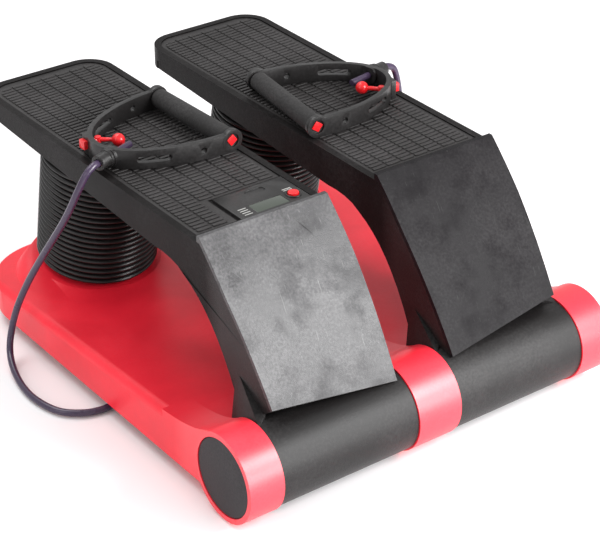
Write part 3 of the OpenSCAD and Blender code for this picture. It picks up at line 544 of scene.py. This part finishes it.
# %% Draw the bands
BAND_D, BAND_Z = 0.0065, 221.3
GLAND_ROOT, GLAND_TURN, GLAND_LENGTH = (-102, -16), math.radians(18), 17
STRAIGHT_STUB = 6.5
ANCHOR_MOUTH = (165, 194, 5.75)
OVER_EDGE = {
    "left": [(174, 239, 216), (181, 243, 200), (186, 250, 181), (190, 259, 163)],
    "right": [(178, 251, 216), (183, 251, 200), (187, 253, 181), (190, 259, 163)],
}
TO_ANCHOR = [
    (195, 275, 137), (200, 291, 111), (205, 306, 84), (210, 319, 55), (215, 324, 30), (222, 317, 14),
    (230, 297, 7), (236, 270, 4.25), (237, 242, 4.25), (230, 216, 4.25), (215, 201, 4.25), (198, 195, 4.25),
    (180, 194, 5.75), (155, 194, 5.75),
]
SPAN_STEPS = 6


def along_gland(side, reach):
    """A point on the gland's middle line, so many millimetres from its root."""
    u, v = GLAND_ROOT
    return on_handle(side, u - reach * math.cos(GLAND_TURN), v - reach * math.sin(GLAND_TURN), BAND_Z)


def through(points, steps=SPAN_STEPS):
    """A smooth line through points: each span becomes steps short pieces."""
    ends = [2 * points[0] - points[1], *points, 2 * points[-1] - points[-2]]
    line = [points[0]]
    for a, b, c, d in zip(ends, ends[1:], ends[2:], ends[3:]):
        for i in range(1, steps + 1):
            t = i / steps
            line.append(b + 0.5 * t * (c - a + t * (2 * a - 5 * b + 4 * c - d + t * (3 * (b - c) + d - a))))
    return line


def tube(name, line, diameter):
    """Sweep a round tube along a drawn line."""
    obj = draw_line(name, line)
    only(obj)
    bpy.ops.object.convert(target="CURVE")
    obj = bpy.context.object
    obj.data.bevel_depth = diameter / 2
    obj.data.bevel_resolution = 6
    obj.data.use_fill_caps = True
    bpy.ops.object.convert(target="MESH")
    smooth(bpy.context.object, 50)
    return bpy.context.object


def run(line):
    """The length of a line."""
    return sum((b - a).length for a, b in zip(line, line[1:]))


for side, sign in SIDES.items():
    first = [along_gland(side, GLAND_LENGTH), along_gland(side, GLAND_LENGTH + STRAIGHT_STUB)]
    over = [row(sign * x, y, z) for x, y, z in OVER_EDGE[side]]
    line = through(first + over + [row(sign * x, y, z) for x, y, z in TO_ANCHOR])
    cut = SPAN_STEPS * (len(first + over) - 1)
    upper_line, lower_line = line[: cut + 1], line[cut:]
    upper = tube(f"{side}_band_upper_tube", upper_line, BAND_D)
    lower = tube(f"{side}_band_lower_tube", lower_line, BAND_D)
    meet, gland, anchor = line[cut], line[0], row(sign * ANCHOR_MOUTH[0], *ANCHOR_MOUTH[1:])
    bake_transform(upper, f"{side}_pedal", f"{side}_handle", start=meet, end=(meet.x, meet.y, gland.z))
    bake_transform(lower, "base", f"{side}_pedal", start=(meet.x, meet.y, 0.02), end=meet)
    stretches = ((upper, "upper", upper_line, gland), (lower, "lower", lower_line, anchor))
    for piece, part, route, leaves in stretches:
        piece.data.materials.append(finishes["band_latex"])
        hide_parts(f"{side}_band_{part}")
    print(side, "band", round(run(upper_line), 3), "+", round(run(lower_line), 3), "m")

# %% [markdown]
# ## Bellows
# A bellows is one profile spun round its axis: a cuff, twenty folds with round crests and sharp valleys,
# and a cuff again. The column leans along the pedal's arc, and its rings stand square to the lean until
# they level out under the pedal.

# %% Spin the bellows
BELLOWS_X, BELLOWS_Y, BELLOWS_LEAN = 97, 362, 26
FOLDS, FOLD_Z0, FOLD_Z1 = 20, 62.0, 179.0
VALLEY_R, CREST_R, CUFF_R, CUFF_Z0, CUFF_Z1 = 52.0, 58.0, 50.0, 58.1, 192.9
CUFF_LIP, FOOT_GAP, HEAD_GAP = 2.5, 0.5, 0.6
FOLD_STEPS, TURN_STEPS, CREST_ROUND = 6, 72, 0.6
LEVEL_FROM = 0.75
FULL_TILT = math.atan(BELLOWS_LEAN / (CUFF_Z1 - CUFF_Z0))


def bellows_profile(sign):
    """The outline of one bellows beside its axis, from the lower cuff to the upper one."""
    rings = [(CUFF_R - CUFF_LIP, CUFF_Z0), (CUFF_R, CUFF_Z0), (CUFF_R, FOLD_Z0 - FOOT_GAP)]
    pitch = (FOLD_Z1 - FOLD_Z0) / FOLDS
    for i in range(FOLDS * FOLD_STEPS + 1):
        swell = abs(math.sin(math.pi * i / FOLD_STEPS)) ** CREST_ROUND
        rings.append((VALLEY_R + (CREST_R - VALLEY_R) * swell, FOLD_Z0 + i * pitch / FOLD_STEPS))
    rings += [(CUFF_R, FOLD_Z1 + HEAD_GAP), (CUFF_R, CUFF_Z1), (CUFF_R - CUFF_LIP, CUFF_Z1)]
    return [row(sign * BELLOWS_X + r, BELLOWS_Y, z) for r, z in rings]


def lean(obj, foot):
    """Shift each ring to the front with its height and tilt it, level at the top."""
    for vertex in obj.data.vertices:
        rise = (vertex.co.z * 1000 - CUFF_Z0) / (CUFF_Z1 - CUFF_Z0)
        tilt = FULL_TILT * (1 - (max(0.0, rise - LEVEL_FROM) / (1 - LEVEL_FROM)) ** 2)
        back = vertex.co.y - foot.y
        vertex.co.y = foot.y + back * math.cos(tilt) - BELLOWS_LEAN / 1000 * rise
        vertex.co.z += back * math.sin(tilt)


for side, sign in SIDES.items():
    foot = row(sign * BELLOWS_X, BELLOWS_Y, FOLD_Z0)
    bellows = lathe(f"{side}_bellows_folds", bellows_profile(sign), foot, TURN_STEPS)
    lean(bellows, foot)
    smooth(bellows, 60)
    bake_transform(bellows, "base", f"{side}_pedal", start=foot, end=(foot.x, foot.y, FOLD_Z1 / 1000))
    dress(bellows, "base", f"{side}_bellows")
    print(side, "bellows", len(bellows.data.polygons), "faces")

# %% [markdown]
# ## Base
# The red moulding is one body with its hinge barrels. The top edge of its arms, sides and back corners is
# rolled over with a wide bevel and the barrels' edges with a narrow one, so that each catches a line of
# light. The feet of the bosses stay crisp behind the bellows, and the barrels are shaded as true cylinders.

# %% Round the base
DECK_FRONT, BACK_WALL = row(0, 47, 0).y, row(0, 369, 0).y
ARM_REACH, SIDE_X, BACK_CORNER_X = 0.03, 0.1945, 0.125
EDGE_LOW, EDGE_HIGH = 0.0355, 0.047
BARREL_LOW, BARREL_BACK = 0.0135, DECK_FRONT + 0.052
OUTLINE_ROUND, BARREL_ROUND = 0.006, 0.0022


def on_outline(co):
    """True along the arms, the sides and the back corners of the deck's top edge."""
    if co.y > BACK_WALL:
        return abs(co.x) > BACK_CORNER_X and EDGE_LOW < co.z < EDGE_HIGH
    return abs(co.x) > SIDE_X and co.y > DECK_FRONT - ARM_REACH and co.z > EDGE_LOW


def on_barrel(co):
    """True on the barrels, but not at their feet."""
    return co.z > BARREL_LOW and co.y < BARREL_BACK


base = weld_in(cad_copy("base_shell", "base_moulding"), cad_copy("hinge_barrels", "barrels_copy"))
outline = bevel_where(base, OUTLINE_ROUND, 4, both(on_outline), 30)
fronts = bevel_where(base, BARREL_ROUND, 3, both(on_barrel), 30)
smooth(base, 40)
print("base rounded on", outline, "outline edges and", fronts, "barrel edges")

# %% Keep the feet of the bosses crisp
BOSS_MIDDLE_Y, BOSS_BACK = row(0, BELLOWS_Y, 0).y, row(0, BELLOWS_Y + 20, 0).y
BOSS_FOOT_R, DECK_NEAR, DECK_LEVEL = 0.0835, 0.0006, 0.97
deck = max((face for face in base.data.polygons if face.normal.z > DECK_LEVEL), key=lambda face: face.area)
deck_point, deck_normal = deck.center.copy(), deck.normal.copy()


def at_boss_foot(co):
    """True where a boss rises from the deck behind its bellows."""
    away = math.hypot(abs(co.x) - BELLOWS_X / 1000, co.y - BOSS_MIDDLE_Y)
    above = abs((co - deck_point).dot(deck_normal))
    return co.y > BOSS_BACK and away < BOSS_FOOT_R and above < DECK_NEAR


creases = pick_edges(base, both(at_boss_foot), 5)
bpy.ops.mesh.mark_sharp()
done()
flatten(base)
print("boss feet", creases, "edges kept crisp")

# %% Shade the barrels
BARREL_R, BARREL_NEAR, END_TURN = 0.041, 0.0003, 0.3


def shade_barrels(obj):
    """Shade the barrels as true cylinders: their normals point straight away from the hinge axis."""
    mesh = obj.data
    axis = Vector((0, HINGE_Y, HINGE_Z))
    normals = [Vector(corner.vector) for corner in mesh.corner_normals]
    turned = 0
    for face in mesh.polygons:
        spokes = [mesh.vertices[v].co - axis for v in face.vertices]
        round_face = all(abs(math.hypot(spoke.y, spoke.z) - BARREL_R) < BARREL_NEAR for spoke in spokes)
        if round_face and abs(face.normal.x) < END_TURN:
            for corner, spoke in zip(face.loop_indices, spokes):
                normals[corner] = Vector((0, spoke.y, spoke.z)).normalized()
            turned += 1
    mesh.normals_split_custom_set(normals)
    return turned


print(shade_barrels(base), "barrel faces shaded round")
dress(base, "base", "base_shell", "hinge_barrels")

# %% Round the end caps
CAP_ROUND = 0.0012
for side in SIDES:
    cap = cad_copy(f"{side}_end_cap", f"{side}_barrel_cap")
    bevel_where(cap, CAP_ROUND, 3, any_edge)
    smooth(cap, 40)
    dress(cap, "base", f"{side}_end_cap")
    print(side, "end cap", len(cap.data.polygons), "faces")

# %% [markdown]
# ## Pedals
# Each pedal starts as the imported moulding. Its rim gets a round, a step runs along its sides below the
# rim, and the hinge tube and the front plate get tighter rounds.

# %% Round the pedals
PEDAL_IN, PEDAL_OUT, CORNER_R = 0.027, 0.159, 0.0285
PEDAL_BACK = row(0, 461, 0).y
SKIRT_FRONT = row(0, 120, 0).y
STEP_Z, STEP_IN = 0.1985, 0.0009
SIDE_NEAR, BACK_NEAR = 0.0002, 0.0005
RIM_Z, RIM_ROUND = 0.21, 0.003
TUBE_BACK, TUBE_LOW, TUBE_ROUND = row(0, 60, 0).y, 0.004, 0.0012
PLATE_EDGE, PLATE_ROUND = 0.004, 0.0013


def on_side(co):
    """True on the flat side walls of a pedal."""
    return min(abs(abs(co.x) - PEDAL_IN), abs(abs(co.x) - PEDAL_OUT)) < SIDE_NEAR


def on_wall(co):
    """True on the side walls and round the back of a pedal."""
    corner = min(abs(co.x) - PEDAL_IN, PEDAL_OUT - abs(co.x)) < CORNER_R and co.y > PEDAL_BACK - CORNER_R
    return on_side(co) or co.y > PEDAL_BACK - BACK_NEAR or corner


def on_rim(co):
    """True along the rim round the tread."""
    return co.z > RIM_Z and on_wall(co)


def on_tube(co):
    """True on the hinge tube and the foot of the leg."""
    return co.y < TUBE_BACK and co.z > TUBE_LOW


def step_skirt(obj):
    """Cut two lines round the skirt and draw the part below them in."""
    for height in (STEP_Z, STEP_Z - STEP_IN):
        edit(obj)
        bpy.ops.mesh.select_all(action="SELECT")
        bpy.ops.mesh.bisect(plane_co=(0, 0, height), plane_no=(0, 0, 1))
        done()
    middle = (PEDAL_IN + PEDAL_OUT) / 2
    for vertex in obj.data.vertices:
        co = vertex.co
        if on_side(co) and co.z < STEP_Z - STEP_IN / 2 and co.y > SKIRT_FRONT:
            co.x += STEP_IN * math.copysign(1, co.x) * (1 if abs(co.x) < middle else -1)


for side in SIDES:
    pedal = cad_copy(f"{side}_pedal_shell", f"{side}_pedal_moulding")
    rim = bevel_where(pedal, RIM_ROUND, 4, both(on_rim), 30)
    step_skirt(pedal)
    tubes = bevel_where(pedal, TUBE_ROUND, 3, both(on_tube), 30)
    smooth(pedal, 40)
    flatten(pedal)
    dress(pedal, f"{side}_pedal", f"{side}_pedal_shell")
    plate = cad_copy(f"{side}_front_plate", f"{side}_scuffed_plate")
    borders = bevel_where(plate, PLATE_ROUND, 3, lambda a, b: (a - b).length > PLATE_EDGE, 30)
    smooth(plate, 30)
    flatten(plate)
    dress(plate, f"{side}_pedal", f"{side}_front_plate")
    plate.data.materials[0] = plate_finishes[side]
    print(side, "pedal", rim, "rim edges,", tubes, "tube edges,", borders, "plate edges")

# %% [markdown]
# ## Tread mats
# A mat is a thin sheet with seven columns of short raised bars. One bar is made and bevelled, two arrays
# repeat it, and bars that would lie outside the sheet's round corners or on the computer are cut back.

# %% Lay the mats
COLUMNS, BAR_PITCH, BAR_W, BAR_H = 7, 0.0056, 0.0036, 0.0014
BAR_GAP, BAR_ROUND, SHORTEST_BAR = 0.0016, 0.0006, 0.004
MAT_DROP, MAT_EDGE, MAT_CORNER, TOP_NEAR = 0.0012, 0.0035, 0.021, 0.0001
HOLE_ROOM = 0.004


def bar_field(name, lo, hi):
    """Make one bar, then repeat it across and along the mat."""
    pitch_x = (hi.x - lo.x - 2 * MAT_EDGE) / COLUMNS
    rows = int((hi.y - lo.y - 2 * MAT_EDGE) / BAR_PITCH)
    size = (pitch_x - BAR_GAP, BAR_W, BAR_H)
    start = (lo.x + MAT_EDGE + pitch_x / 2, lo.y + MAT_EDGE + BAR_PITCH / 2, hi.z - BAR_H / 2)
    bpy.ops.mesh.primitive_cube_add(size=1, location=start)
    bar = bpy.context.object
    bar.name = name
    bar.scale = size
    bpy.ops.object.transform_apply(location=True, rotation=True, scale=True)
    bevel_where(bar, BAR_ROUND, 2, both(lambda co: co.z > start[2]), 30)
    count = len(bar.data.vertices)
    modify(bar, "ARRAY", count=COLUMNS, use_relative_offset=False, use_constant_offset=True,
           constant_offset_displace=(pitch_x, 0, 0))
    modify(bar, "ARRAY", count=rows, use_relative_offset=False, use_constant_offset=True,
           constant_offset_displace=(0, BAR_PITCH, 0))
    return bar, count


def cut_back(bars, count, lo, hi, hole):
    """Shorten the bars at the back corners and drop those that are too short or lie in the hole."""
    middle, half = (lo.x + hi.x) / 2, (hi.x - lo.x) / 2 - MAT_EDGE
    verts = bars.data.vertices
    drop = set()
    for first in range(0, len(verts), count):
        group = [verts[i].co for i in range(first, first + count)]
        for co in group:
            into = max(0.0, co.y - (hi.y - MAT_EDGE - MAT_CORNER)) / MAT_CORNER
            room = half - MAT_CORNER * (1 - math.sqrt(max(0.0, 1 - into * into)))
            co.x = middle + max(-room, min(room, co.x - middle))
        xs, ys = [co.x for co in group], [co.y for co in group]
        inside = hole and min(xs) < hole[1].x and max(xs) > hole[0].x and min(ys) < hole[1].y
        if inside or max(xs) - min(xs) < SHORTEST_BAR:
            drop.update(range(first, first + count))
    edit(bars)
    done()
    for vertex in bars.data.vertices:
        vertex.select = vertex.index in drop
    bpy.ops.object.mode_set(mode="EDIT")
    if drop:
        bpy.ops.mesh.delete(type="VERT")
    done()


for side in SIDES:
    low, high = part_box(f"{side}_tread_mat")
    sheet = cad_copy(f"{side}_tread_mat", f"{side}_mat_sheet")
    pick(sheet, lambda co: co.z > high.z - TOP_NEAR)
    bpy.ops.transform.translate(value=(0, 0, -MAT_DROP))
    done()
    hole = None
    if side == "left":
        corners = zip((-HOLE_ROOM, HOLE_ROOM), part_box("computer_housing"))
        hole = [corner + Vector((room, room, 0)) for room, corner in corners]
    bars, count = bar_field(f"{side}_mat_bars", low, high)
    cut_back(bars, count, low, high, hole)
    mat = join(f"{side}_mat", [sheet, bars])
    smooth(mat, 30)
    dress(mat, f"{side}_pedal", f"{side}_tread_mat")
    print(side, "mat", len(mat.data.polygons), "faces")

# %% [markdown]
# ## Handles
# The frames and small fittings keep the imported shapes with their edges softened. The foam grips are new
# cylinders with rounded ends.

# %% Soften the handles and make the grips
GRIP_R, GRIP_HALF, GRIP_Z = 0.009, 54.2, 221.8
GRIP_ROUND = 0.0016
SOFT_EDGES = {
    "handle_frame": 0.0012, "grip_core": 0.0005, "band_peg": 0.0008, "band_gland": 0.0007, "band_end": 0.0006,
}
for side in SIDES:
    for part, width in SOFT_EDGES.items():
        piece = cad_copy(f"{side}_{part}", f"{side}_{part}_soft")
        bevel_where(piece, width, 3, any_edge, 40)
        smooth(piece, 40)
        dress(piece, f"{side}_handle", f"{side}_{part}")
    middle = on_handle(side, 0, 0, GRIP_Z)
    bpy.ops.mesh.primitive_cylinder_add(
        vertices=64, radius=GRIP_R, depth=2 * GRIP_HALF / 1000, location=middle,
        rotation=(math.pi / 2, 0, HANDLE_TURN[side]))
    grip = bpy.context.object
    grip.name = f"{side}_grip_sleeve"
    bpy.ops.object.transform_apply(location=True, rotation=True, scale=True)
    bevel_where(grip, GRIP_ROUND, 4, any_edge, 60)
    smooth(grip, 40)
    dress(grip, f"{side}_handle", f"{side}_grip_foam")
    print(side, "handle softened")

# %% [markdown]
# ## Computer
# The step computer sits in the left tread: a dark housing with a display and a red button. A thin ring
# frames the button, and plain pale bars stand for the printing.

# %% Soften the computer
COMPUTER_EDGES = {"computer_housing": 0.0006, "mode_button": 0.0008, "display_lens": 0.0003}
for part, width in COMPUTER_EDGES.items():
    piece = cad_copy(part, f"{part}_soft")
    bevel_where(piece, width, 3, any_edge, 40)
    smooth(piece, 40)
    dress(piece, "mode_button" if part == "mode_button" else "left_pedal", part)
print("computer softened")

# %% Add the bezel and the printed bars
pale_print = finish("pale_print", (0.42, 0.42, 0.40), (0.2, 0.2, 0.2), 0.3, 2500.0, 0.00001, 0.5)
COMPUTER_TOP = 211.3
BUTTON_AT, BUTTON_BARS, LEGEND_BARS = (-45, 111.5), (119.8, 122.2), (104.0, 107.5, 111.0, 114.5)
LEGEND_X, LEGEND_W, BAR_SIZE = -97, 8, (9, 1.0, 0.3)
BEZEL_R, BEZEL_THICK = 0.0066, 0.0009


def keep_with_computer(obj, name, material):
    """Name and paint a small extra piece and let it ride on the left pedal."""
    obj.name = name
    obj.data.materials.append(material)
    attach(obj, "left_pedal")


bpy.ops.mesh.primitive_torus_add(
    major_radius=BEZEL_R, minor_radius=BEZEL_THICK, major_segments=48, minor_segments=12,
    location=row(*BUTTON_AT, COMPUTER_TOP))
bezel = bpy.context.object
bpy.ops.object.transform_apply(location=True, rotation=True, scale=True)
smooth(bezel, 60)
keep_with_computer(bezel, "button_bezel", finishes["computer_plastic"])
places = [(BUTTON_AT[0], y, BAR_SIZE[0]) for y in BUTTON_BARS]
places += [(LEGEND_X, y, LEGEND_W) for y in LEGEND_BARS]
prints = []
for x, y, width in places:
    bpy.ops.mesh.primitive_cube_add(size=1, location=row(x, y, COMPUTER_TOP))
    bar = bpy.context.object
    bar.scale = (width / 1000, BAR_SIZE[1] / 1000, BAR_SIZE[2] / 1000)
    bpy.ops.object.transform_apply(location=True, rotation=True, scale=True)
    prints.append(bar)
keep_with_computer(join("printed_bars", prints), "printed_bars", pale_print)
print("bezel and", len(places), "printed bars added")
